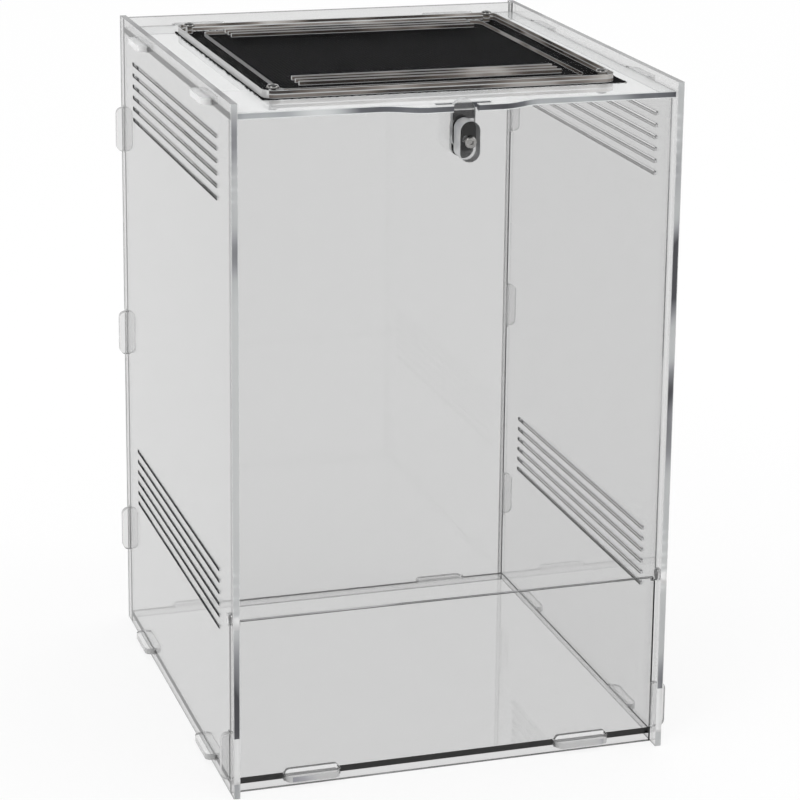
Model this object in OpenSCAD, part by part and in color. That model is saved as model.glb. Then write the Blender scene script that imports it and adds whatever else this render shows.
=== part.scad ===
// Desktop reptile terrarium of clear sheet, put together from laser-cut panels.
// X runs to the right, Y to the back and Z up, seen from the door side.
// The origin is the middle of the footprint, on the surface that it stands on.

/* [Sheet] */
// Thickness of the clear sheet that the panels and latch are cut from
sheet = 3; // [2.5:0.1:4]
// Room left around a tab in its slot, on each side
tab_fit = 0.1; // [0.05:0.01:0.2]
// Radius of the round relief that the cutter leaves in each slot corner
relief_r = 0.8; // [0.5:0.1:1.2]
// Room above the floor's tabs in the slots of the lower front panel
front_slot_room = 2; // [0:0.1:3]
// Radius of the upper corners of those slots
front_slot_r = 2; // [0.5:0.1:2.5]

/* [Box] */
// Clear width between the two side panels
inner_w = 200; // [180:1:260]
// Depth of the side panels
side_d = 228; // [210:1:280]
// Height of the side panels and the back panel
side_h = 317; // [290:1:380]
// Distance from the rear edge of the side panels to the back panel
back_inset = 5; // [3:0.5:10]
// Height of the floor's underside above the ground
foot_h = 3.2; // [2:0.1:10]
// Height of the side panels above the roof
roof_drop = 4.4; // [3:0.1:7]
// Distance from the front edge of the side panels to the door
door_inset = 5; // [4:0.5:8]
// Distance from the front edge of the side panels to the lower front panel
lower_inset = 6.5; // [6:0.5:10]
// Height of the lower front panel
lower_h = 81.8; // [60:0.1:120]
// Distance from the front edge of the side panels to the roof's front edge
roof_inset = 2.3; // [1:0.1:3]

/* [Tabs] */
// Length of the tabs on the floor and the roof
tab_w = 25; // [15:1:35]
// Distance between the middles of two tabs on the same edge
tab_pitch = 130; // [90:1:140]
// Height of the upright tabs on the back and lower front panels
wall_tab_h = 22; // [15:1:30]
// Height of the middle one of the back panel's tabs
back_tab_z = 156; // [140:1:170]
// Distance between the back panel's tabs
back_tab_pitch = 105; // [80:1:110]
// Height of the middle of the lower front panel's tab
lower_tab_z = 18; // [18:0.5:35]
// How far a tab stands out of the panel that it passes through
tab_out = 4; // [1:0.1:6]
// Radius of the tab corners
tab_r = 3; // [0.5:0.1:3.5]

/* [Side vents] */
// Number of slots in each group
vent_count = 6; // [3:1:8]
// Width of a vent slot
vent_w = 2; // [1:0.1:3]
// Length of a vent slot, with its round ends
vent_l = 174; // [120:1:180]
// Distance between the slots of a group
vent_pitch = 5.5; // [4.5:0.1:6]
// Distance from the panel's top edge to the highest slot
vent_top = 19; // [12:0.5:30]
// Height of the highest slot of the lower group
vent_low_z = 100; // [95:1:120]
// Distance of the slots' middle behind the middle of the side panel
vent_shift = -1.6; // [-3:0.1:3]

/* [Door] */
// Height of the door's hinge line
hinge_z = 83.8; // [83.8:0.1:140]
// Gap between the door and each side panel
door_side_gap = 0.4; // [0.2:0.1:1]
// Gap between the door and the roof
door_top_gap = 0.5; // [0.3:0.1:2]
// Distance from the hinge line down to the door's lower edge
door_below_hinge = 1; // [0.5:0.1:1.2]
// Diameter of the round hinge hole in each side panel
hinge_hole_d = 6; // [5.5:0.1:8]
// Running clearance between the corners of a hinge ear and its hole
hinge_fit = 0.08; // [0.05:0.01:0.1]
// How far a hinge ear stands out of the side panel
ear_out = 1; // [0.5:0.1:3]

/* [Roof vent] */
// Width of the roof opening
opening_w = 142; // [110:1:145]
// Depth of the roof opening
opening_d = 148; // [120:1:156]
// Distance of the opening's middle in front of the middle of the side panels
opening_forward = 1.5; // [0:0.5:4]
// Radius of the corners of the opening
opening_r = 4; // [2:0.5:8]
// Width of the left and right arms of the vent frame
frame_arm_x = 10.5; // [9:0.5:14]
// Width of the front and rear arms of the vent frame
frame_arm_y = 12; // [10:0.5:14]
// Radius of the outer corners of the frame and cover
frame_r = 6; // [3:0.5:8]
// Thickness of the vent frame and of its cover
thin_sheet = 1.8; // [1.5:0.1:3]
// Number of slots at the front and again at the rear of the cover
cover_slot_count = 3; // [1:1:4]
// Width of a slot in the cover
cover_slot_w = 1.8; // [1:0.1:3]
// Distance from the opening's edge to the slots of the cover
cover_slot_margin = 9.5; // [6:0.5:15]
// Distance between the slots of the cover
cover_slot_pitch = 6.2; // [5:0.1:8]
// Distance from the opening's front or rear edge to the nearest slot
cover_slot_edge = 6; // [5:0.5:12]
// Thickness of the woven screen
mesh_t = 0.4; // [0.3:0.1:0.8]
// How far the cut edge of the screen shows in front, behind and left of the frame
mesh_out = 1.5; // [1:0.5:4]
// How far the cut edge of the screen shows on the right of the frame
mesh_out_right = 6; // [1:0.5:6]
// Number of gaps across the screen, each way
mesh_count = 17; // [8:1:17]
// Width of a strand of the screen
strand_w = 1; // [0.5:0.1:2]

/* [Fasteners] */
// Diameter of the screws
screw_d = 3; // [2.5:0.1:3]
// Diameter of the clearance holes
screw_hole_d = 3.4; // [3.3:0.1:3.6]
// Diameter of the screw heads
head_d = 5.6; // [5:0.1:6.5]
// Height of the screw heads
head_h = 1.7; // [1.2:0.1:2.2]
// Width across the flats of the socket in a screw head
socket_af = 2; // [1.5:0.1:2.2]
// Width across the flats of the nuts
nut_af = 5.5; // [5:0.1:6]
// Thickness of the nuts
nut_t = 2.4; // [2:0.1:3]
// Length of thread that stands past a nut
thread_past = 0.6; // [0.3:0.1:2]
// Clearance between a screw and its nut
thread_fit = 0.03; // [0.02:0.01:0.05]

/* [Latch] */
// Distance from the roof's underside down to the latch screw
latch_drop = 12.1; // [11.5:0.1:16]
// Width of the latch lever
lever_w = 10.4; // [9.6:0.1:12]
// How far the lever stands above the roof
lever_up = 2.1; // [1:0.1:4]
// Width of the knob
knob_w = 9; // [8:0.1:10]
// Height of the knob
knob_h = 18; // [14:0.5:20]
// Thickness of the knob
knob_t = 9; // [6:0.5:10]
// Running clearance of the lever and knob on their screw
pivot_fit = 0.05; // [0.02:0.01:0.1]
// Play of the lever and knob along the screw, at each end
pivot_play = 0.1; // [0.05:0.01:0.2]
// Clearance between the lever and the slot that it turns in
lever_fit = 0.5; // [0.4:0.1:1]
// Width of the lips that hold the turned lever
lip_t = 3; // [2:0.1:4]
// Width at the front of the swelling in the roof's edge
bulge_front_w = 34; // [32:1:44]
// Width at the back of the swelling in the roof's edge
bulge_back_w = 74; // [60:1:90]
// Thickness of the washer behind the door
washer_t = 0.5; // [0.4:0.1:1]
// Diameter of the washer behind the door
washer_d = 7; // [6:0.1:8]

/* [Hidden] */
$fn = 48;
clear = [0.80, 0.86, 0.88, 0.45];
steel = [0.62, 0.63, 0.65];
screen_black = [0.08, 0.08, 0.09];
through = 1;                      // how far a cutting shape runs past a face
curve_steps = 10;                 // points on each side of the roof's swelling

// The latch stands furthest forward, so the footprint's middle lies a little
// in front of the middle of the side panels.
spacer_front = door_inset - sheet;
lever_back = spacer_front - pivot_play;
lever_front = lever_back - sheet;
knob_front = lever_front - knob_t;
head_seat = knob_front - pivot_play;
latch_reach = head_h - head_seat;
side_front = (latch_reach - side_d) / 2;
side_mid = side_front + side_d / 2;

half_w = inner_w / 2;
outer_half_w = half_w + sheet;
back_y = side_front + side_d - back_inset - sheet;
door_y = side_front + door_inset;
lower_y = side_front + lower_inset;
roof_front = side_front + roof_inset;
roof_z = side_h - roof_drop - sheet;
roof_top = roof_z + sheet;
floor_front = lower_y + sheet;
tab_rows = [side_mid - tab_pitch / 2, side_mid + tab_pitch / 2];
tab_columns = [-tab_pitch / 2, tab_pitch / 2];
back_tab_rows = [for (i = [-1:1]) back_tab_z + i * back_tab_pitch];

hinge_y = door_y + sheet / 2;
ear_h = sqrt(pow(hinge_hole_d - 2 * hinge_fit, 2) - sheet * sheet);
door_half_w = half_w - door_side_gap;
ear_l = outer_half_w + ear_out - door_half_w + through;
door_low = hinge_z - door_below_hinge;
ear_notch_w = 2 * door_side_gap + through;   // room for an ear's root to turn
ear_notch_z = hinge_z - hinge_hole_d / 2 - door_side_gap;
door_high = roof_z - door_top_gap;

latch_z = roof_z - latch_drop;
lever_tip = roof_top + lever_up - latch_z;
lever_y = side_front + lever_front;
slot_back = side_front + lever_back + lever_fit;
slot_front = lever_y - lever_fit;
slot_half_w = sqrt(lever_tip * lever_tip - latch_drop * latch_drop) + lever_fit;
lip_gap = lever_w + 2 * lever_fit;
bulge_front = slot_front - lip_t;

frame_w = opening_w + 2 * frame_arm_x;
frame_d = opening_d + 2 * frame_arm_y;
frame_z = roof_top + mesh_t;
cover_z = frame_z + thin_sheet;
cover_top = cover_z + thin_sheet;
vent_mid = side_mid - opening_forward;
vent_screw_x = opening_w / 2 + frame_arm_x / 2;
vent_screw_y = opening_d / 2 + frame_arm_y / 2;
cover_slot_l = opening_w - 2 * cover_slot_margin;
cover_slot_y = opening_d / 2 - cover_slot_edge;

// Flat shapes, drawn in the plane of their sheet

module rounded(w, h, r) {
    square([w - 2 * r, h], center = true);
    square([w, h - 2 * r], center = true);
    for (x = [-1, 1], y = [-1, 1])
        translate([x * (w / 2 - r), y * (h / 2 - r)]) circle(r);
}

module obround(l, w) {
    square([l - w, w], center = true);
    for (x = [-1, 1]) translate([x * (l - w) / 2, 0]) circle(d = w);
}

// A slot for a tab of length l that lies along X
module tab_slot(l) {
    slot_l = l + 2 * tab_fit;
    slot_w = sheet + 2 * tab_fit;
    square([slot_l, slot_w], center = true);
    for (x = [-1, 1], y = [-1, 1])
        translate([x * slot_l / 2, y * (slot_w / 2 - relief_r / 2)]) circle(relief_r);
}

// A slot with rounded headroom above the tab
module tall_slot(l) {
    slot_h = sheet + 2 * tab_fit + front_slot_room;
    corner = min(front_slot_r, slot_h / 2 - tab_fit);
    tab_slot(l);
    translate([0, front_slot_room / 2]) rounded(l + 2 * tab_fit, slot_h, corner);
}

// A tab of length l that grows from the edge at the origin towards +Y
module tab(l) {
    reach = sheet + tab_out;
    translate([-l / 2, -through]) square([l, reach + through - tab_r]);
    translate([-l / 2 + tab_r, 0]) square([l - 2 * tab_r, reach]);
    for (x = [-1, 1]) translate([x * (l / 2 - tab_r), reach - tab_r]) circle(tab_r);
}

// Tabs on the left and right edges of a sheet, at the given places along it
module side_tabs(places, l) {
    for (p = places, s = [-1, 1])
        translate([s * half_w, p]) rotate(-90 * s) tab(l);
}

// Sheets placed in the box

module upright_x(x) {
    translate([x, 0, 0]) rotate([90, 0, 90]) linear_extrude(sheet) children();
}

module upright_y(y, t = sheet) {
    translate([0, y + t, 0]) rotate([90, 0, 0]) linear_extrude(t) children();
}

module level(z, t = sheet) {
    translate([0, 0, z]) linear_extrude(t) children();
}

// Side panels, drawn with Y across and Z up

module vent_group(top_z) {
    for (i = [0 : vent_count - 1])
        translate([side_mid + vent_shift, top_z - i * vent_pitch]) obround(vent_l, vent_w);
}

module side_outline() {
    difference() {
        translate([side_front, 0]) square([side_d, side_h]);
        for (z = back_tab_rows)
            translate([back_y + sheet / 2, z]) rotate(90) tab_slot(wall_tab_h);
        translate([lower_y + sheet / 2, lower_tab_z]) rotate(90) tab_slot(wall_tab_h);
        for (y = tab_rows, z = [foot_h, roof_z])
            translate([y, z + sheet / 2]) tab_slot(tab_w);
        translate([hinge_y, hinge_z]) circle(d = hinge_hole_d);
        vent_group(side_h - vent_top);
        vent_group(vent_low_z);
    }
}

module left_side_panel() {
    color(clear) upright_x(-outer_half_w) side_outline();
}

module right_side_panel() {
    color(clear) upright_x(half_w) side_outline();
}

// Back and lower front panels, drawn with X across and Z up

module back_panel() {
    color(clear) upright_y(back_y) difference() {
        union() {
            translate([-half_w, 0]) square([inner_w, side_h]);
            side_tabs(back_tab_rows, wall_tab_h);
        }
        for (x = tab_columns, z = [foot_h, roof_z])
            translate([x, z + sheet / 2]) tab_slot(tab_w);
    }
}

module lower_front_panel() {
    color(clear) upright_y(lower_y) difference() {
        union() {
            translate([-half_w, 0]) square([inner_w, lower_h]);
            side_tabs([lower_tab_z], wall_tab_h);
        }
        for (x = tab_columns)
            translate([x, foot_h + sheet / 2]) tall_slot(tab_w);
        for (x = [-half_w, half_w - ear_notch_w])
            translate([x, ear_notch_z])
                square([ear_notch_w, lower_h - ear_notch_z + through]);
    }
}

// Floor and roof, drawn from above

module floor_panel() {
    color(clear) level(foot_h) {
        translate([-half_w, floor_front]) square([inner_w, back_y - floor_front]);
        side_tabs(tab_rows, tab_w);
        for (x = tab_columns) {
            translate([x, back_y]) tab(tab_w);
            translate([x, floor_front]) rotate(180) tab(tab_w);
        }
    }
}

// The roof's front edge swells forward in two smooth curves around the latch
function swell(s) = roof_front + (bulge_front - roof_front) * (1 - cos(180 * s)) / 2;
function swell_side(dir) = [
    for (i = [0 : curve_steps])
        let (s = dir < 0 ? i / curve_steps : 1 - i / curve_steps)
        [dir * (bulge_back_w + (bulge_front_w - bulge_back_w) * s) / 2, swell(s)]
];

module roof_outline() {
    translate([-half_w, roof_front]) square([inner_w, back_y - roof_front]);
    polygon(concat([[-bulge_back_w / 2, roof_front + sheet]], swell_side(-1),
                   swell_side(1), [[bulge_back_w / 2, roof_front + sheet]]));
    side_tabs(tab_rows, tab_w);
    for (x = tab_columns) translate([x, back_y]) tab(tab_w);
}

module vent_screw_places() {
    for (x = [-1, 1], y = [-1, 1])
        translate([x * vent_screw_x, vent_mid + y * vent_screw_y]) children();
}

module vent_opening() {
    translate([0, vent_mid]) rounded(opening_w, opening_d, opening_r);
}

module roof_panel() {
    color(clear) level(roof_z) difference() {
        roof_outline();
        vent_opening();
        vent_screw_places() circle(d = screw_hole_d);
        translate([-slot_half_w, slot_front])
            square([2 * slot_half_w, slot_back - slot_front]);
        translate([-lip_gap / 2, bulge_front - through])
            square([lip_gap, slot_front - bulge_front + 2 * through]);
    }
}

// Roof vent: screen, frame and slotted cover under four screws

module vent_mesh() {
    gap_w = (opening_w - (mesh_count + 1) * strand_w) / mesh_count;
    gap_d = (opening_d - (mesh_count + 1) * strand_w) / mesh_count;
    color(screen_black) level(roof_top, mesh_t) difference() {
        translate([-frame_w / 2 - mesh_out, vent_mid - frame_d / 2 - mesh_out])
            square([frame_w + mesh_out + mesh_out_right, frame_d + 2 * mesh_out]);
        for (i = [0 : mesh_count - 1], j = [0 : mesh_count - 1])
            translate([-opening_w / 2 + strand_w + i * (gap_w + strand_w),
                       vent_mid - opening_d / 2 + strand_w + j * (gap_d + strand_w)])
                square([gap_w, gap_d]);
        vent_screw_places() circle(d = screw_hole_d);
    }
}

module frame_outline() {
    translate([0, vent_mid]) rounded(frame_w, frame_d, frame_r);
}

module vent_frame() {
    color(clear) level(frame_z, thin_sheet) difference() {
        frame_outline();
        vent_opening();
        vent_screw_places() circle(d = screw_hole_d);
    }
}

module vent_cover() {
    color(clear) level(cover_z, thin_sheet) difference() {
        frame_outline();
        vent_screw_places() circle(d = screw_hole_d);
        for (i = [0 : cover_slot_count - 1], s = [-1, 1])
            translate([0, vent_mid + s * (cover_slot_y - i * cover_slot_pitch)])
                obround(cover_slot_l, cover_slot_w);
    }
}

// Fasteners: a screw hangs from its seat at the origin with its head up

module screw(l) {
    difference() {
        union() {
            rotate_extrude()
                polygon(concat([[0, 0]], [for (a = [0 : 15 : 90])
                    [head_d / 2 * cos(a), head_h * sin(a)]]));
            translate([0, 0, -l]) cylinder(d = screw_d, h = l + head_h / 2);
        }
        translate([0, 0, head_h * 0.4])
            cylinder(d = socket_af / cos(30), h = head_h, $fn = 6);
    }
}

module nut() {
    difference() {
        cylinder(d = nut_af / cos(30), h = nut_t, $fn = 6);
        translate([0, 0, -through])
            cylinder(d = screw_d + 2 * thread_fit, h = nut_t + 2 * through);
    }
}

module vent_screws() {
    grip = cover_top - roof_z + nut_t + thread_past;
    color(steel) translate([0, 0, cover_top]) vent_screw_places() screw(grip);
}

module vent_nuts() {
    color(steel) translate([0, 0, roof_z - nut_t]) vent_screw_places() nut();
}

// Door with its two hinge ears, drawn with X across and Z up

module door_panel() {
    color(clear) upright_y(door_y) difference() {
        union() {
            translate([-door_half_w, door_low])
                square([2 * door_half_w, door_high - door_low]);
            for (x = [-outer_half_w - ear_out, door_half_w - through])
                translate([x, hinge_z - ear_h / 2]) square([ear_l, ear_h]);
        }
        translate([0, latch_z]) circle(d = screw_hole_d);
    }
}

// Latch: knob and lever turn on one screw, in front of a fixed spacer

module knob_outline(bore) {
    translate([0, latch_z]) difference() {
        rotate(90) obround(knob_h, knob_w);
        circle(d = bore);
    }
}

module latch_spacer() {
    color(clear) upright_y(side_front + spacer_front) knob_outline(screw_hole_d);
}

module latch_lever() {
    color(clear) upright_y(lever_y) translate([0, latch_z]) difference() {
        union() {
            circle(d = lever_w);
            translate([-lever_w / 2, 0]) square([lever_w, lever_tip - lever_w / 2]);
            translate([0, lever_tip - lever_w / 2]) circle(d = lever_w);
        }
        circle(d = screw_d + 2 * pivot_fit);
    }
}

module latch_knob() {
    color(clear) upright_y(side_front + knob_front, knob_t)
        knob_outline(screw_d + 2 * pivot_fit);
}

module latch_screw() {
    grip = door_inset + sheet + washer_t + nut_t + thread_past - head_seat;
    color(steel) translate([0, side_front + head_seat, latch_z]) rotate([90, 0, 0])
        screw(grip);
}

module latch_washer() {
    color(steel) upright_y(door_y + sheet, washer_t) translate([0, latch_z])
        difference() {
            circle(d = washer_d);
            circle(d = screw_hole_d);
        }
}

module latch_nut() {
    color(steel) translate([0, door_y + sheet + washer_t + nut_t, latch_z])
        rotate([90, 0, 0]) nut();
}

left_side_panel();
right_side_panel();
back_panel();
floor_panel();
roof_panel();
lower_front_panel();
vent_mesh();
vent_frame();
vent_cover();
vent_screws();
vent_nuts();
door_panel();
latch_spacer();
latch_lever();
latch_knob();
latch_screw();
latch_washer();
latch_nut();
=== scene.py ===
# Looks of a clear reptile terrarium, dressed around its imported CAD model.
import math
import random
from collections import namedtuple

import bmesh
import bpy
from mathutils import Matrix, Vector


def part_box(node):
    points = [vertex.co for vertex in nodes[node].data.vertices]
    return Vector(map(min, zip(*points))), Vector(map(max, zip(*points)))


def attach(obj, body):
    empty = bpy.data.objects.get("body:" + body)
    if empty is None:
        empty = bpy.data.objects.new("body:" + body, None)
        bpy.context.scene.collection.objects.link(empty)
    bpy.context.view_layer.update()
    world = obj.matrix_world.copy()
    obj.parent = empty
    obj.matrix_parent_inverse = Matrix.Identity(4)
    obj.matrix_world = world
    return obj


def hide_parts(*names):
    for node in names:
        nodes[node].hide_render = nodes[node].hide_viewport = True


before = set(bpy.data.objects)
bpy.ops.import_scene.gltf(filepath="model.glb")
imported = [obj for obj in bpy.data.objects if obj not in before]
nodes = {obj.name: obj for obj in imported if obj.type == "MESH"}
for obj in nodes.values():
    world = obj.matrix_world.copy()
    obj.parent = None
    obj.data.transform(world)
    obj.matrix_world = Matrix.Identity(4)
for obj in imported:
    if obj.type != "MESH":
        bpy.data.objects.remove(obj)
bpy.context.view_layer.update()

MM = 0.001
SHEET = 3 * MM              # the sheet that the box is cut from
random.seed(11)


# Camera and surroundings

def place_camera():
    """The photograph's own view, as fitted to the box's corners, slots and tabs."""
    side, rise = math.radians(-18.225), math.radians(14.5)
    roll = math.radians(0.831)
    reach = 1.34319
    target = Vector((0.028774, 0.00595, 0.214356))
    back = Vector((math.sin(side) * math.cos(rise), -math.cos(side) * math.cos(rise),
                   math.sin(rise)))
    right = (-back).cross(Vector((0, 0, 1))).normalized()
    up = right.cross(-back)
    turned_right = right * math.cos(roll) + up * math.sin(roll)
    turned_up = up * math.cos(roll) - right * math.sin(roll)
    # In pixels of the photograph
    image, focal = 800, 2797.6
    middle_u, middle_v = 441.87, 255.23
    data = bpy.data.cameras.new("camera")
    data.sensor_width = 36
    data.lens = focal / image * data.sensor_width
    data.shift_x = (image / 2 - middle_u) / image
    data.shift_y = (middle_v - image / 2) / image
    data.clip_end = 100
    camera = bpy.data.objects.new("camera", data)
    axes = Matrix((turned_right, turned_up, back)).transposed().to_4x4()
    camera.matrix_world = Matrix.Translation(target + back * reach) @ axes
    bpy.context.scene.collection.objects.link(camera)
    bpy.context.scene.camera = camera


def linear(code):
    """An sRGB hex colour as the linear colour that a shader reads."""
    parts = [int(code[i:i + 2], 16) / 255 for i in (1, 3, 5)]
    return tuple(p / 12.92 if p <= 0.04045 else ((p + 0.055) / 1.055) ** 2.4
                 for p in parts) + (1,)


def add(tree, kind, links=None, **settings):
    """Adds a node, gives it its settings, and links sockets to its inputs."""
    node = tree.nodes.new(kind)
    inputs = settings.pop("inputs", {})
    for key, value in settings.items():
        setattr(node, key, value)
    for key, value in inputs.items():
        node.inputs[key].default_value = value
    for key, socket in (links or {}).items():
        tree.links.new(socket, node.inputs[key])
    return node


def ramp(tree, socket, stops):
    """A colour ramp over socket, from (place, hex colour) stops."""
    node = add(tree, "ShaderNodeValToRGB", {"Fac": socket})
    band = node.color_ramp.elements
    while len(band) < len(stops):
        band.new(0.5)
    for element, (place, code) in zip(band, stops):
        element.position = place
        element.color = linear(code)
    return node.outputs["Color"]


def math_node(tree, operation, a, b=None, c=None):
    """One sum on numbers or sockets."""
    node = tree.nodes.new("ShaderNodeMath")
    node.operation = operation
    for i, term in enumerate((a, b, c)):
        if term is None:
            continue
        if isinstance(term, (int, float)):
            node.inputs[i].default_value = term
        else:
            tree.links.new(term, node.inputs[i])
    return node.outputs[0]


def inside(tree, socket, low, high):
    """1 where a number lies between low and high, and 0 elsewhere."""
    above = math_node(tree, "GREATER_THAN", socket, low)
    return math_node(tree, "MULTIPLY", above, math_node(tree, "LESS_THAN", socket, high))


def either(tree, *masks):
    """The largest of several masks."""
    out = masks[0]
    for mask in masks[1:]:
        out = math_node(tree, "MAXIMUM", out, mask)
    return out


def both_of(tree, *masks):
    """The product of several masks."""
    out = masks[0]
    for mask in masks[1:]:
        out = math_node(tree, "MULTIPLY", out, mask)
    return out


def new_material(name):
    """A material with an empty node tree."""
    mat = bpy.data.materials.new(name)
    mat.use_nodes = True
    mat.node_tree.nodes.clear()
    return mat, mat.node_tree


def light_world():
    """Plain white light all round, which the camera sees as a white background. Lines
    of sight that a surface mirrors or passes on meet white low down and a dim ceiling
    higher up, which gives steel and clear sheet their dark reflections."""
    world = bpy.data.worlds.new("studio")
    bpy.context.scene.world = world
    world.use_nodes = True
    tree = world.node_tree
    tree.nodes.clear()
    path = add(tree, "ShaderNodeLightPath")
    place = add(tree, "ShaderNodeTexCoord")
    split = add(tree, "ShaderNodeSeparateXYZ", {"Vector": place.outputs["Generated"]})
    studio = ramp(tree, split.outputs["Z"],
                  [(0.0, "#ffffff"), (0.5, "#ffffff"), (0.62, "#2a2b2d"), (1.0, "#77797c")])
    mirrored = either(tree, path.outputs["Is Glossy Ray"],
                      path.outputs["Is Transmission Ray"])
    around = add(tree, "ShaderNodeBackground", {"Color": studio}, inputs={"Strength": 1})
    soft = add(tree, "ShaderNodeBackground",
               inputs={"Color": linear("#ffffff"), "Strength": 1})
    white = add(tree, "ShaderNodeBackground",
                inputs={"Color": linear("#ffffff"), "Strength": 1})
    first = add(tree, "ShaderNodeMixShader", {0: mirrored, 1: soft.outputs[0],
                                              2: around.outputs[0]})
    last = add(tree, "ShaderNodeMixShader", {0: path.outputs["Is Camera Ray"],
                                             1: first.outputs[0], 2: white.outputs[0]})
    add(tree, "ShaderNodeOutputWorld", {"Surface": last.outputs[0]})


def lay_floor():
    """A pale floor that shows white, with the soft shadow of what stands on it. Sight
    lines see most of it as plain white, so that it meets the background unseen."""
    radius, drop, white_share = 6, 0.2 * MM, 0.85
    bpy.ops.object.select_all(action="DESELECT")
    bpy.ops.mesh.primitive_circle_add(vertices=96, radius=radius, fill_type="NGON",
                                      location=(0, 0, -drop))
    floor = bpy.context.object
    floor.name = "studio_floor"
    mat, tree = new_material("matt_white_card")
    path = add(tree, "ShaderNodeLightPath")
    seen = either(tree, path.outputs["Is Glossy Ray"],
                  path.outputs["Is Transmission Ray"], path.outputs["Is Camera Ray"])
    share = math_node(tree, "MULTIPLY", seen, white_share)
    card = add(tree, "ShaderNodeBsdfDiffuse", inputs={"Color": linear("#f6f6f6")})
    glow = add(tree, "ShaderNodeEmission", inputs={"Color": linear("#ffffff"), "Strength": 1})
    both = add(tree, "ShaderNodeMixShader", {0: share, 1: card.outputs[0],
                                             2: glow.outputs[0]})
    add(tree, "ShaderNodeOutputMaterial", {"Surface": both.outputs[0]})
    floor.data.materials.append(mat)


def hang_lamp(name, place, size, watts):
    """A soft box that faces the middle of the terrarium."""
    data = bpy.data.lights.new(name, "AREA")
    data.shape = "RECTANGLE"
    data.size, data.size_y = size
    data.energy = watts
    lamp = bpy.data.objects.new(name, data)
    lamp.location = place
    aim = Vector((0, 0, 0.16)) - Vector(place)
    lamp.rotation_euler = aim.to_track_quat("-Z", "Y").to_euler()
    bpy.context.scene.collection.objects.link(lamp)


bpy.context.scene.view_settings.view_transform = "Standard"
place_camera()
light_world()
lay_floor()
hang_lamp("soft_box_left", (-1.3, -1.2, 1.9), (0.9, 0.9), 9)
hang_lamp("soft_box_right", (1.5, -0.5, 1.5), (0.3, 1.2), 5)


# Materials

# Places on the part where edges and faces look different, found to within a hair
HAIR = 0.02 * MM
NEAR = 0.05 * MM
SIDE_MID = sum(corner.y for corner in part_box("right_side_panel")) / 2
INNER_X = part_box("right_side_panel")[0].x + HAIR
REAR_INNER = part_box("back_panel")[0].y + HAIR
FLOOR_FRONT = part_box("lower_front_panel")[1].y - HAIR
FLOOR_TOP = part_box("floor_panel")[1].z
SLOT_TOP = FLOOR_TOP + 0.4 * MM                    # where a floor slot's arch starts
HINGE = 83.8 * MM                                  # height of the door's hinge line
TAB_BEHIND = (7 * MM, 29 * MM)                     # the lower panel's tab, in height
EAR_BEHIND = (HINGE - 3 * MM, HINGE + 3 * MM)      # the hinge ear, in height
AIR_REACH = (SIDE_MID - 89 * MM, SIDE_MID + 86 * MM)   # the air slots, front to back
AIR_LOW = (66 * MM, 106 * MM)                      # the lower group of air slots
AIR_HIGH = (264 * MM, 304 * MM)                    # the upper group
TAB_REACH = (51 * MM, 79 * MM)                     # level tabs, from the middle outwards
ROOF_TABS = (308 * MM, 314 * MM)                   # the roof's tabs, in height
FLOOR_ZONE = 10 * MM                               # the floor is below this, the roof above

RIM_DIM = 0.75              # how far the top edges go to near-black
ARM_LIT = 0.9               # how far the left arm's walls go to white
TAB_END_DULL = 0.8          # how much duller a front tab's end is than its sides
# A wall counts as facing one way when this much of its normal points there
UPRIGHT, SIDEWAYS, LEVEL = 0.6, 0.6, 0.7

Spot = namedtuple("Spot", "at facing patches")     # sockets that the masks read


def air_slots(tree, spot):
    """The two groups of air slots in each side panel."""
    return both_of(tree, inside(tree, spot.at["Y"], *AIR_REACH),
                   either(tree, inside(tree, spot.at["Z"], *AIR_LOW),
                          inside(tree, spot.at["Z"], *AIR_HIGH)))


def top_rim(tree, spot):
    """The top edges of the side and back panels, painted three quarters of the way to
    near-black: painted shade on the upward faces.
    """
    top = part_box("right_side_panel")[1].z
    rim = both_of(tree, math_node(tree, "GREATER_THAN", spot.at["Z"], top - 0.5 * MM),
                  math_node(tree, "GREATER_THAN", spot.facing["Z"], LEVEL))
    return math_node(tree, "MULTIPLY", rim, RIM_DIM)


def wall_glow(tree, spot):
    """Side panels: painted white glow on the walls of the slots and hinge holes, and on the
    front edge where the lower panel's tab and the hinge ear pass behind it."""
    low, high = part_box("right_side_panel")
    air = air_slots(tree, spot)
    inner = both_of(tree, inside(tree, spot.at["Y"], low.y + MM, high.y - MM),
                    inside(tree, spot.at["Z"], MM, high.z - MM))
    front = both_of(tree, math_node(tree, "LESS_THAN", spot.at["Y"], low.y + 0.1 * MM),
                    either(tree, inside(tree, spot.at["Z"], *TAB_BEHIND),
                           inside(tree, spot.at["Z"], *EAR_BEHIND)))
    return either(tree, both_of(tree, inner, math_node(tree, "SUBTRACT", 1, air)), front)


def arm_glow(tree, spot):
    """Vent frame and cover: painted light, white along the walls of the left arm."""
    walls = math_node(tree, "GREATER_THAN", math_node(tree, "ABSOLUTE", spot.facing["X"]),
                      SIDEWAYS)
    left = math_node(tree, "LESS_THAN", spot.at["X"], 0)
    return math_node(tree, "MULTIPLY", both_of(tree, walls, left), ARM_LIT)


def cross_glow(tree, spot):
    """Back and front panels: painted white glow on their own tabs, and on the slots for the
    level sheets' tabs.
    """
    reach = math_node(tree, "ABSOLUTE", spot.at["X"])
    slots = both_of(tree, inside(tree, reach, *TAB_REACH),
                    either(tree, inside(tree, spot.at["Z"], MM, SLOT_TOP),
                           inside(tree, spot.at["Z"], *ROOF_TABS)))
    return either(tree, math_node(tree, "GREATER_THAN", reach, INNER_X), slots)


def arch_dark(tree, spot):
    """Lower front panel: the rounded upper walls of the slots for the floor's tabs, painted
    near-black as painted shade in the arch.
    """
    reach = math_node(tree, "ABSOLUTE", spot.at["X"])
    arch = 3.6 * MM
    return both_of(tree, inside(tree, reach, *TAB_REACH),
                   inside(tree, spot.at["Z"], SLOT_TOP, SLOT_TOP + arch))


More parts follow.
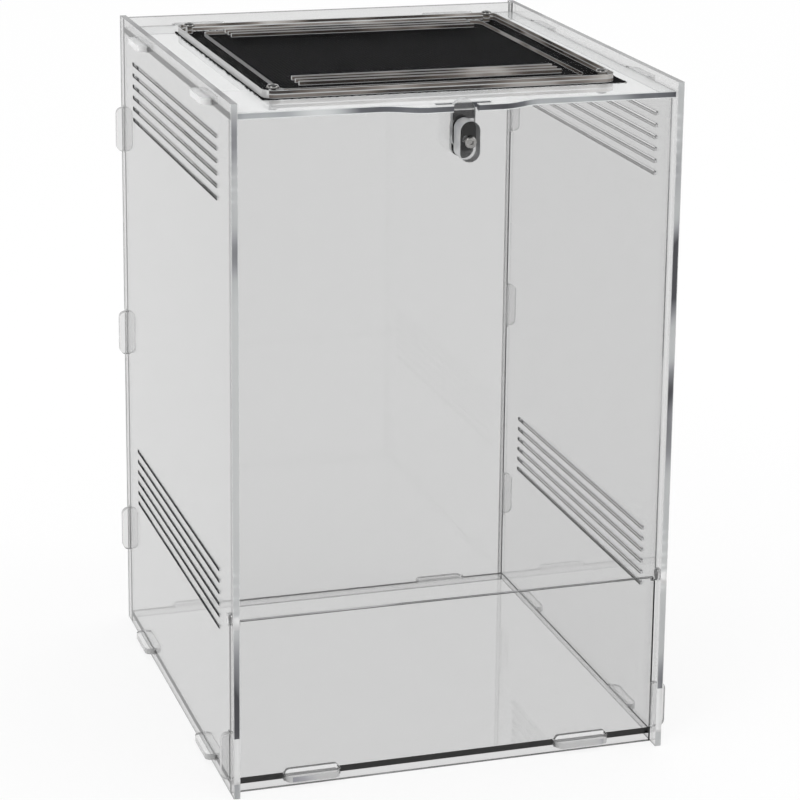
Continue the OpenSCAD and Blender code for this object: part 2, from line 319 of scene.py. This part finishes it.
def spacer_dark(tree, spot):
    """Spacer: the wall is painted dark above and below, painted dark reflections, and light
    at the sides.
    """
    return math_node(tree, "GREATER_THAN", math_node(tree, "ABSOLUTE", spot.facing["Z"]),
                     UPRIGHT)


def level_glow(tree, spot):
    """Floor and roof: painted white glow on their tabs. The front ones keep a grey end."""
    reach = math_node(tree, "ABSOLUTE", spot.at["X"])
    low_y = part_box("floor_panel")[0].y
    end = math_node(tree, "LESS_THAN", spot.at["Y"], low_y + NEAR)
    front_tab = both_of(tree, math_node(tree, "LESS_THAN", spot.at["Y"], FLOOR_FRONT),
                        math_node(tree, "MULTIPLY_ADD", end, -TAB_END_DULL, 1),
                        math_node(tree, "LESS_THAN", spot.at["Z"], FLOOR_ZONE))
    return either(tree, math_node(tree, "GREATER_THAN", reach, INNER_X),
                  math_node(tree, "GREATER_THAN", spot.at["Y"], REAR_INNER), front_tab)


def floor_touch(tree, spot):
    """Lower front panel: the floor edge's painted highlights are painted onto the rear face
    where the two meet.
    """
    floor_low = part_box("floor_panel")[0].z
    mask = both_of(tree, math_node(tree, "GREATER_THAN", spot.at["Y"], FLOOR_FRONT),
                   inside(tree, spot.at["Z"], floor_low, FLOOR_TOP))
    return mask, ramp(tree, spot.patches, SPOTTED_HIGHLIGHTS)


def back_touch(tree, spot):
    """Side panels: the back panel's edge is painted onto the inner face where they meet, a
    painted dark line in front and a painted highlight behind."""
    low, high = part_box("back_panel")
    inner = math_node(tree, "LESS_THAN", math_node(tree, "ABSOLUTE", spot.at["X"]), INNER_X)
    mask = both_of(tree, inner, inside(tree, spot.at["Y"], low.y, high.y))
    depth = math_node(tree, "DIVIDE", math_node(tree, "SUBTRACT", spot.at["Y"], low.y), SHEET)
    return mask, ramp(tree, depth, [(0.0, "#17171f"), (0.5, "#17171f"), (0.56, "#ffffff")])


def lever_touch(tree, spot):
    """Lever: between the knob and the roof its rear face is painted near-black, a painted
    reflection of the black screen.
    """
    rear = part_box("latch_lever")[1].y
    knob_top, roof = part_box("latch_knob")[1].z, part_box("roof_panel")[0].z
    mask = both_of(tree, math_node(tree, "GREATER_THAN", spot.at["Y"], rear - NEAR),
                   inside(tree, spot.at["Z"], knob_top - MM, roof - 0.3 * MM))
    return mask, ramp(tree, spot.patches, [(0.0, "#0d0d0f"), (1.0, "#1b1b1e")])


def tinted(tree, mask, colour, code):
    """The colour, turned to one plain colour where the mask is 1."""
    mix = add(tree, "ShaderNodeMix", {0: mask, 6: colour}, data_type="RGBA")
    mix.inputs[7].default_value = linear(code)
    return mix.outputs[2]


def cast_acrylic(name, axis, low, thick, tones, arris, face="#e5e5e5", glow=None,
                 dark=None, touch=None, sheer=None, patch=45, shown=1, haze=0):
    """Cast acrylic, cut by laser. Its faces are clear, with a faint grey cast. Its cut
    edges are painted in patches of charcoal and white, patch mm long, which are painted
    reflections of the surroundings, with a painted highlight, a fine bright line, along
    each arris, and the faint lines of the beam. The tabs and the slots that they sit in
    are painted white, a painted glow. Where another sheet's edge lies against a polished
    face, that edge's painted look is painted onto the face. Fine slots have clear walls,
    which show only as a painted dark line along each arris. Haze is how milky the faces
    are, and shown is their alpha."""
    edge_rough, face_rough = 0.2, 0.015
    most_matt, light_passed, clear_middle = 0.85, 0.45, (0.22, 0.78)
    mat, tree = new_material(name)
    place = add(tree, "ShaderNodeTexCoord")
    at = add(tree, "ShaderNodeSeparateXYZ", {"Vector": place.outputs["Object"]}).outputs
    facing = add(tree, "ShaderNodeSeparateXYZ", {"Vector": place.outputs["Normal"]}).outputs
    # 1 on the cut edges and 0 on the two polished faces
    edge = math_node(tree, "LESS_THAN", math_node(tree, "ABSOLUTE", facing[axis]), 0.5)
    # 0 to 1 through the sheet
    depth = math_node(tree, "DIVIDE", math_node(tree, "SUBTRACT", at[axis], low), thick)
    patches = add(tree, "ShaderNodeTexNoise", {"Vector": place.outputs["Object"]},
                  noise_dimensions="4D",
                  inputs={"Scale": 1000 / patch, "Detail": 1, "Roughness": 0.4,
                          "W": sum(map(ord, name)) % 13})
    # Painted reflections: patches of charcoal and white along the cut edges
    tone = ramp(tree, patches.outputs["Fac"], tones)
    spot = Spot(at, facing, patches.outputs["Fac"])
    near, far = arris
    # Painted highlight: a near-white line along each arris
    share = ramp(tree, depth, [(0.0, "#ffffff"), (near * 0.6, "#ffffff"), (near, "#000000"),
                               (1 - far, "#000000"), (1 - far * 0.6, "#ffffff")])
    cut_colour = tinted(tree, share, tone, "#f4f6f6")
    # Painted glow: white where the glow mask is 1
    if glow:
        cut_colour = tinted(tree, glow(tree, spot), cut_colour, "#ffffff")
    # Painted shade and painted dark reflections: near-black where the dark mask is 1
    if dark:
        cut_colour = tinted(tree, dark(tree, spot), cut_colour, "#131317")
    # Painted dark line along each arris of the fine slots
    if sheer:
        fine = sheer(tree, spot)
        line = both_of(tree, fine, math_node(tree, "SUBTRACT", 1,
                                             inside(tree, depth, *clear_middle)))
        cut_colour = tinted(tree, line, cut_colour, "#101013")
        bare = math_node(tree, "SUBTRACT", 1, fine)
        edge = both_of(tree, edge, either(tree, bare, line))
    # Painted on: another sheet's edge look, painted where it lies against this face
    if touch:
        mask, shade = touch(tree, spot)
        met = add(tree, "ShaderNodeMix", {0: mask, 6: cut_colour, 7: shade},
                  data_type="RGBA")
        cut_colour = met.outputs[2]
        edge = either(tree, edge, mask)
    colour = add(tree, "ShaderNodeMix", {0: edge, 7: cut_colour}, data_type="RGBA")
    colour.inputs[6].default_value = linear(face)
    # The lighter a patch of a cut edge is, the more light it also lets through
    matt = math_node(tree, "MULTIPLY_ADD", cut_colour, -light_passed, 1)
    veil = math_node(tree, "MULTIPLY", edge, most_matt - haze)
    clear = math_node(tree, "SUBTRACT", 1 - haze, both_of(tree, veil, matt))
    rough = math_node(tree, "MULTIPLY_ADD", edge, edge_rough, face_rough)
    # Lines of the beam, 0.4 mm apart but drawn at 1.6 mm so that they show
    beam = add(tree, "ShaderNodeTexNoise", {"Vector": place.outputs["Object"]},
               inputs={"Scale": 1 / (1.6 * MM), "Detail": 1})
    bump = add(tree, "ShaderNodeBump",
               {"Height": math_node(tree, "MULTIPLY", beam.outputs["Fac"], edge)},
               inputs={"Strength": 0.25, "Distance": 0.05 * MM})
    shader = add(tree, "ShaderNodeBsdfPrincipled",
                 {"Base Color": colour.outputs[2], "Roughness": rough,
                  "Transmission Weight": clear, "Normal": bump.outputs["Normal"]},
                 inputs={"IOR": 1.49})
    if shown < 1:
        tree.links.new(math_node(tree, "MAXIMUM", edge, shown), shader.inputs["Alpha"])
    add(tree, "ShaderNodeOutputMaterial", {"Surface": shader.outputs[0]})
    return mat


def plated_steel():
    """Zinc-plated steel, turned and pressed: mid grey and shiny, a little grainy."""
    mat, tree = new_material("zinc_plated_steel")
    place = add(tree, "ShaderNodeTexCoord")
    # Plating grain, about 0.3 mm
    grain = add(tree, "ShaderNodeTexNoise", {"Vector": place.outputs["Object"]},
                inputs={"Scale": 1 / (0.3 * MM), "Detail": 3})
    colour = ramp(tree, grain.outputs["Fac"], [(0.3, "#6f6e6d"), (0.7, "#aeadab")])
    rough = math_node(tree, "MULTIPLY_ADD", grain.outputs["Fac"], 0.15, 0.12)
    shader = add(tree, "ShaderNodeBsdfPrincipled", {"Base Color": colour, "Roughness": rough},
                 inputs={"Metallic": 1})
    add(tree, "ShaderNodeOutputMaterial", {"Surface": shader.outputs[0]})
    return mat


def black_screen():
    """Polyester screen, woven and dyed black: matt, with next to no sheen."""
    mat, tree = new_material("woven_black_polyester")
    place = add(tree, "ShaderNodeTexCoord")
    # Uneven dye and dust over some 12 mm, and fibre over 0.5 mm
    dust = add(tree, "ShaderNodeTexNoise", {"Vector": place.outputs["Object"]},
               inputs={"Scale": 1 / (12 * MM), "Detail": 4})
    colour = ramp(tree, dust.outputs["Fac"], [(0.3, "#060607"), (0.75, "#121214")])
    fibre = add(tree, "ShaderNodeTexNoise", {"Vector": place.outputs["Object"]},
                inputs={"Scale": 1 / (0.5 * MM), "Detail": 2})
    bump = add(tree, "ShaderNodeBump", {"Height": fibre.outputs["Fac"]},
               inputs={"Strength": 0.4, "Distance": 0.05 * MM})
    shader = add(tree, "ShaderNodeBsdfPrincipled",
                 {"Base Color": colour, "Normal": bump.outputs["Normal"]},
                 inputs={"Roughness": 0.8, "Specular IOR Level": 0.05})
    add(tree, "ShaderNodeOutputMaterial", {"Surface": shader.outputs[0]})
    return mat


# Tones along a cut edge, from the darkest patches to the lightest. These are painted
# reflections and highlights, not the sheet's own colour: charcoal stands in for dark
# surroundings seen in the edge and white for light ones. WHITE paints the knob's wall
# white all over.
PALE = [(0.36, "#3b3b40"), (0.42, "#8d8e92"), (0.48, "#cfd1d2"), (0.6, "#eef0f0")]
MIXED = [(0.4, "#34343a"), (0.5, "#5c5e63"), (0.58, "#b9bcbe"), (0.66, "#f2f4f4")]
DARK_REFLECTIONS = [(0.42, "#18181a"), (0.54, "#303134"), (0.64, "#6d6f72"), (0.74, "#a9abad")]
SPOTTED_HIGHLIGHTS = [(0.38, "#7d7d88"), (0.45, "#a5a5ad"), (0.5, "#e0e0e4"), (0.54, "#ffffff")]
WHITE = [(0.4, "#e4e5e8"), (0.55, "#ffffff")]
BROWN = [(0.38, "#393431"), (0.48, "#68605a"), (0.58, "#98908a"), (0.68, "#ddd8d3")]
# Both side panels are one stock. The left one's cast is painted a little greyer, painted
# shade, because this light makes it too pale. The roof's faces are a lighter grey and
# milky, painted light, so that the roof shows brighter. The vent's faces hardly show, so
# that the screen stays black.
sheets = {
    "left_side_panel": dict(axis="X", tones=PALE, arris=(0.12, 0.12), face="#d2d2d2",
                            glow=wall_glow, dark=top_rim, touch=back_touch,
                            sheer=air_slots),
    "right_side_panel": dict(axis="X", tones=PALE, arris=(0.12, 0.12), face="#e1e1e1",
                             glow=wall_glow, dark=top_rim, touch=back_touch,
                             sheer=air_slots),
    "back_panel": dict(axis="Y", tones=DARK_REFLECTIONS, arris=(0.01, 0.5), glow=cross_glow,
                       dark=top_rim),
    "lower_front_panel": dict(axis="Y", tones=DARK_REFLECTIONS, arris=(0.06, 0.06), glow=cross_glow,
                              dark=arch_dark, touch=floor_touch, patch=22),
    "door_panel": dict(axis="Y", tones=MIXED, arris=(0.12, 0.12), glow=cross_glow),
    "latch_spacer": dict(axis="Y", tones=PALE, arris=(0.1, 0.1), dark=spacer_dark, patch=9),
    "latch_lever": dict(axis="Y", tones=PALE, arris=(0.2, 0.2), touch=lever_touch,
                        patch=9),
    "latch_knob": dict(axis="Y", tones=WHITE, arris=(0.1, 0.1), patch=6),
    "floor_panel": dict(axis="Z", tones=SPOTTED_HIGHLIGHTS, arris=(0.12, 0.12), face="#f1f1f1",
                        glow=level_glow, patch=22),
    "roof_panel": dict(axis="Z", tones=MIXED, arris=(0.15, 0.15), glow=level_glow,
                       face="#f6f7f7", haze=0.4),
    "vent_frame": dict(axis="Z", tones=BROWN, arris=(0.16, 0.16), glow=arm_glow, patch=30,
                       shown=0.004),
    "vent_cover": dict(axis="Z", tones=BROWN, arris=(0.16, 0.16), glow=arm_glow, patch=30,
                       shown=0.004),
}
for node, looks in sheets.items():
    low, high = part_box(node)
    i = "XYZ".index(looks["axis"])
    mat = cast_acrylic("cast_acrylic_" + node, low=low[i], thick=high[i] - low[i], **looks)
    nodes[node].data.materials.clear()
    nodes[node].data.materials.append(mat)

steel = plated_steel()
nodes["latch_washer"].data.materials.clear()
nodes["latch_washer"].data.materials.append(steel)
screen = black_screen()


# New pieces

def pick(obj, kind, test):
    """In edit mode, selects only the faces, edges or vertices that pass test."""
    bpy.ops.mesh.select_mode(type=kind)
    bpy.ops.mesh.select_all(action="DESELECT")
    mesh = bmesh.from_edit_mesh(obj.data)
    found = {"FACE": mesh.faces, "EDGE": mesh.edges, "VERT": mesh.verts}[kind]
    for part in found:
        if test(part):
            part.select_set(True)
    mesh.select_flush_mode()
    bmesh.update_edit_mesh(obj.data)


def start():
    """Nothing is selected before the next step."""
    bpy.ops.object.select_all(action="DESELECT")


def edit(obj):
    """Opens obj in edit mode."""
    bpy.context.view_layer.objects.active = obj
    bpy.ops.object.mode_set(mode="EDIT")


def leave():
    """Leaves edit mode."""
    bpy.ops.object.mode_set(mode="OBJECT")


def settle(obj):
    """Moves the object's place into its mesh, so that the object sits at the origin."""
    start()
    obj.select_set(True)
    bpy.context.view_layer.objects.active = obj
    bpy.ops.object.transform_apply(location=True, rotation=True, scale=True)


def apply_all(obj):
    """Applies the object's modifiers in their order."""
    bpy.context.view_layer.objects.active = obj
    for modifier in list(obj.modifiers):
        bpy.ops.object.modifier_apply(modifier=modifier.name)


def join(parts, name):
    """Makes one named piece of several."""
    start()
    for part in parts:
        part.select_set(True)
    bpy.context.view_layer.objects.active = parts[0]
    bpy.ops.object.join()
    parts[0].name = name
    return parts[0]


def copy_at(obj, place, name):
    """A copy with its own mesh, moved to place."""
    twin = obj.copy()
    twin.data = obj.data.copy()
    twin.name = name
    bpy.context.scene.collection.objects.link(twin)
    twin.data.transform(Matrix.Translation(place))
    return twin


def cut(obj, tool, operation="DIFFERENCE"):
    """Takes one closed shape from another, or keeps what both share."""
    modifier = obj.modifiers.new("cut", "BOOLEAN")
    modifier.operation = operation
    modifier.object = tool
    modifier.solver = "EXACT"
    start()
    obj.select_set(True)
    apply_all(obj)
    bpy.data.objects.remove(tool)


def finish_piece(obj, material, body, smooth=35):
    """Smooths a piece up to so many degrees, gives it its material and its body."""
    start()
    obj.select_set(True)
    bpy.context.view_layer.objects.active = obj
    if smooth:
        bpy.ops.object.shade_smooth_by_angle(angle=math.radians(smooth))
    obj.data.materials.clear()
    obj.data.materials.append(material)
    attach(obj, body)
    return obj


def thread_of(top, bottom, outer_r, root_r, pitch):
    """A helical ridge: a small triangle swept round the screw, closed at both ends."""
    start()
    bpy.ops.mesh.primitive_circle_add(vertices=3, radius=1, fill_type="NOTHING")
    ridge = bpy.context.object
    for vertex, spot in zip(ridge.data.vertices,
                            [(root_r, bottom), (outer_r, bottom + pitch * 0.45),
                             (root_r, bottom + pitch * 0.9)]):
        vertex.co = (spot[0], 0, spot[1])
    screw = ridge.modifiers.new("thread", "SCREW")
    screw.angle = 2 * math.pi
    screw.screw_offset = pitch
    screw.iterations = int((top - bottom) / pitch) - 1
    screw.steps = screw.render_steps = 20
    screw.use_merge_vertices = False
    apply_all(ridge)
    edit(ridge)
    bpy.ops.mesh.select_mode(type="EDGE")
    bpy.ops.mesh.select_all(action="DESELECT")
    bpy.ops.mesh.select_non_manifold()
    bpy.ops.mesh.edge_face_add()
    bpy.ops.mesh.select_all(action="SELECT")
    bpy.ops.mesh.normals_make_consistent(inside=False)
    leave()
    return ridge


def button_screw(name, head_r, head_h, length, socket):
    """A button-head screw with its seat at the origin and its head up: a pressed dome
    with a hexagon socket, on a shank with a rolled thread."""
    root_r, outer_r, pitch = 1.2 * MM, 1.49 * MM, 0.5 * MM
    dome, foot = head_h * 0.82, head_h * 0.06
    start()
    bpy.ops.mesh.primitive_cylinder_add(vertices=48, radius=head_r, depth=head_h,
                                        location=(0, 0, head_h / 2))
    head = bpy.context.object
    edit(head)
    pick(head, "EDGE", lambda e: all((head.matrix_world @ v.co).z > head_h * 0.9
                                     for v in e.verts))
    bpy.ops.mesh.bevel(offset=dome, segments=8, profile=0.5, affect="EDGES")
    pick(head, "EDGE", lambda e: all((head.matrix_world @ v.co).z < head_h * 0.05
                                     for v in e.verts))
    bpy.ops.mesh.bevel(offset=foot, segments=2, profile=0.5, affect="EDGES")
    leave()
    settle(head)
    start()
    bpy.ops.mesh.primitive_cylinder_add(vertices=6, radius=socket / 2 / math.cos(math.pi / 6),
                                        depth=head_h, location=(0, 0, head_h * 0.9))
    key = bpy.context.object
    settle(key)
    cut(head, key)
    start()
    bpy.ops.mesh.primitive_cylinder_add(vertices=32, radius=root_r, depth=length,
                                        location=(0, 0, -length / 2))
    shank = bpy.context.object
    edit(shank)
    pick(shank, "EDGE", lambda e: all(v.co.z < 0 for v in e.verts))
    bpy.ops.mesh.bevel(offset=0.3 * MM, segments=2, affect="EDGES")
    leave()
    settle(shank)
    ridge = thread_of(-0.1 * MM, -length + 0.1 * MM, outer_r, root_r * 0.97, pitch)
    return join([head, shank, ridge], name)


def hex_nut(name, corner_r, thick, bore_r):
    """A pressed hexagon nut with the corners of both rims turned off."""
    chamfer = 0.42 * MM
    start()
    bpy.ops.mesh.primitive_cylinder_add(vertices=6, radius=corner_r, depth=thick,
                                        location=(0, 0, thick / 2))
    nut = bpy.context.object
    settle(nut)
    start()
    bpy.ops.mesh.primitive_cylinder_add(vertices=64, radius=corner_r, depth=thick,
                                        location=(0, 0, thick / 2))
    turned = bpy.context.object
    edit(turned)
    pick(turned, "EDGE", lambda e: abs(e.verts[0].co.z - e.verts[1].co.z) < 1e-7)
    bpy.ops.mesh.bevel(offset=chamfer, segments=1, affect="EDGES")
    leave()
    settle(turned)
    cut(nut, turned, "INTERSECT")
    start()
    bpy.ops.mesh.primitive_cylinder_add(vertices=32, radius=bore_r, depth=thick * 2,
                                        location=(0, 0, thick / 2))
    bore = bpy.context.object
    settle(bore)
    cut(nut, bore)
    nut.name = name
    return nut


def strands(low, high, along, cells, lines, pitch, width, thick):
    """Parallel wavy strands of the screen, every second one the other way up. They
    run along X (along = 0) or Y (along = 1), in cells of one pitch."""
    over = 1 - along
    rise = (high.z - low.z) / 2 - thick / 2
    parts = []
    for phase in (0, 1):
        size = [width, width, thick]
        size[along] = cells * pitch
        middle = [(low[i] + high[i]) / 2 for i in range(3)]
        middle[over] = low[over] + pitch * (1 + phase)
        start()
        bpy.ops.mesh.primitive_cube_add(size=1, location=middle)
        strand = bpy.context.object
        strand.scale = size
        settle(strand)
        edit(strand)
        pick(strand, "EDGE", lambda e: abs(e.verts[0].co[along] - e.verts[1].co[along])
             > pitch)
        bpy.ops.mesh.subdivide(number_cuts=cells - 1)
        first = middle[along] - cells * pitch / 2
        for turn in (0, 1):
            pick(strand, "VERT", lambda v: round((v.co[along] - first) / pitch) % 2 == turn)
            way = 1 if (turn + phase + along) % 2 else -1
            bpy.ops.transform.translate(value=(0, 0, way * rise))
        leave()
        row = strand.modifiers.new("row", "ARRAY")
        row.use_relative_offset = False
        row.use_constant_offset = True
        step = [0, 0, 0]
        step[over] = 2 * pitch
        row.constant_offset_displace = step
        row.count = (lines - phase + 1) // 2
        apply_all(strand)
        parts.append(strand)
    return parts


def woven_screen(name):
    """Plain-woven screen, cut by hand: its strands end unevenly around the frame, and
    the spare on the right wanders in and out. A strand is 1.15 mm wide every 1.7 mm,
    coarser than the real cloth, so that the weave shows."""
    low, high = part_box("vent_mesh")
    pitch, width, thick = 1.7 * MM, 1.15 * MM, 0.2 * MM
    cells = [int((high[i] - low[i]) / pitch) for i in (0, 1)]
    parts = strands(low, high, 0, cells[0], cells[1] - 1, pitch, width, thick)
    parts += strands(low, high, 1, cells[1], cells[0] - 1, pitch, width, thick)
    screen = join(parts, name)
    frame_low, frame_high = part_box("vent_frame")
    least_out = 0.2 * MM
    reach = [[frame_low[i] - least_out for i in (0, 1)],
             [frame_high[i] + least_out for i in (0, 1)]]
    ragged = [[[random.random() for _ in range(cells[1 - i] + 3)] for i in (0, 1)]
              for _ in (0, 1)]
    for vertex in screen.data.vertices:
        co = vertex.co
        for i in (0, 1):
            line = int((co[1 - i] - low[1 - i]) / pitch + 0.5)
            least = reach[0][i] - (reach[0][i] - low[i]) * ragged[0][i][line]
            co[i] = max(co[i], least)
            spare = high[i] - reach[1][i]
            if i == 0:
                y = co[1] / MM
                drift = 0.75 + 0.13 * math.sin(y / 19 + 1) + 0.07 * math.sin(y / 5.3)
                most = reach[1][0] + spare * (drift + 0.05 * ragged[1][0][line])
            else:
                most = reach[1][1] + spare * ragged[1][1][line]
            co[i] = min(co[i], most)
    return screen


def build_fasteners():
    """The four screws and nuts of the vent, and those of the latch."""
    head_low, head_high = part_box("vent_screws")
    nut_low, nut_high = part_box("vent_nuts")
    cover_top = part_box("vent_cover")[1].z
    head_h = head_high.z - cover_top
    head_r, socket = 2.8 * MM, 2 * MM
    nut_corner, nut_bore = 3.17 * MM, 1.51 * MM
    xs = (head_low.x + head_r, head_high.x - head_r)
    ys = (head_low.y + head_r, head_high.y - head_r)
    model = button_screw("vent_screw", head_r, head_h, cover_top - head_low.z, socket)
    nut = hex_nut("vent_nut", nut_corner, nut_high.z - nut_low.z, nut_bore)
    screws, hex_nuts = [], []
    for x in xs:
        for y in ys:
            tag = ("l" if x < 0 else "r") + ("f" if y < 0 else "b")
            screws.append(copy_at(model, (x, y, cover_top), "vent_screw_" + tag))
            hex_nuts.append(copy_at(nut, (x, y, nut_low.z), "vent_nut_" + tag))
    low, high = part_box("latch_screw")
    door_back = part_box("latch_nut")
    seat = low.y + head_h
    turn = Matrix.Rotation(math.pi / 2, 4, "X")
    latch = button_screw("latch_button_screw", head_r, head_h, high.y - seat, socket)
    latch.data.transform(turn)
    latch.data.transform(Matrix.Translation((0, seat, (low.z + high.z) / 2)))
    latch_nut = copy_at(nut, (0, 0, 0), "latch_hex_nut")
    latch_nut.data.transform(turn)
    latch_nut.data.transform(Matrix.Translation((0, door_back[1].y, (low.z + high.z) / 2)))
    for spare in (model, nut):
        bpy.data.objects.remove(spare)
    for piece in screws + hex_nuts:
        finish_piece(piece, steel, "enclosure")
    for piece in (latch, latch_nut):
        finish_piece(piece, steel, "door")
    for piece in screws:
        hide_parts("vent_screws")
    for piece in hex_nuts:
        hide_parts("vent_nuts")
    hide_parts("latch_screw")
    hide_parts("latch_nut")


build_fasteners()
weave = finish_piece(woven_screen("woven_screen"), screen, "enclosure", smooth=0)
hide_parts("vent_mesh")
